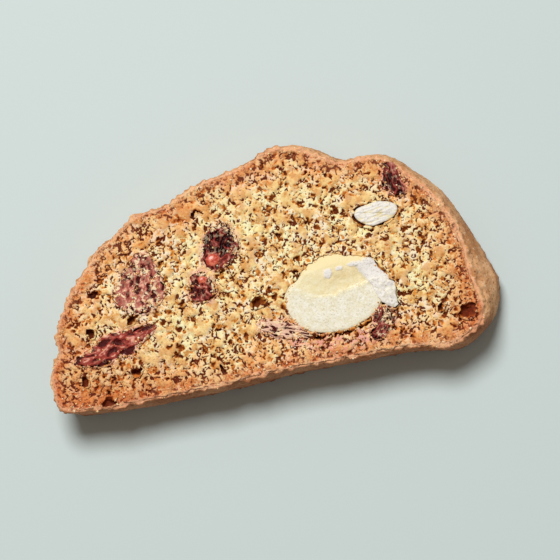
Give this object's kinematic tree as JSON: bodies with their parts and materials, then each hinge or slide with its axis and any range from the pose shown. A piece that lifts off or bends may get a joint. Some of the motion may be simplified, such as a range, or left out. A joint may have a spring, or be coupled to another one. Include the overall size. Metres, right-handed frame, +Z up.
{
  "type": "biscotto slice",
  "caption": "Bias-cut slice of twice-baked biscotti with a domed crust, an open crumb, cut almonds and dried cranberries, lying on one cut face.",
  "frame": {"origin": "middle of the slice's bounding box, at the lower cut face that it lies on", "axes": "+X along the foot of the slice (the log's flat underside), to the end where the crust leans out; +Y from the foot to the domed crust; +Z up through the thickness, out of the upper cut face"},
  "size_m": [0.0928, 0.0472, 0.013],
  "materials": {
    "crumb": "dry porous golden crumb with a browned crust",
    "almond": "matte pale cut nut, slightly oily",
    "cranberry": "wrinkled dark red, sticky half gloss"
  },
  "bodies": {
    "root": {"baked_slice": "crumb", "almond_large": "almond", "almond_flake": "almond", "almond_small": "almond", "cranberry_low_left": "cranberry", "cranberry_left": "cranberry", "cranberry_crown": "cranberry", "cranberry_middle": "cranberry", "cranberry_shoulder": "cranberry", "cranberry_by_almond": "cranberry", "cranberry_low_middle": "cranberry"}
  },
  "joints": []
}
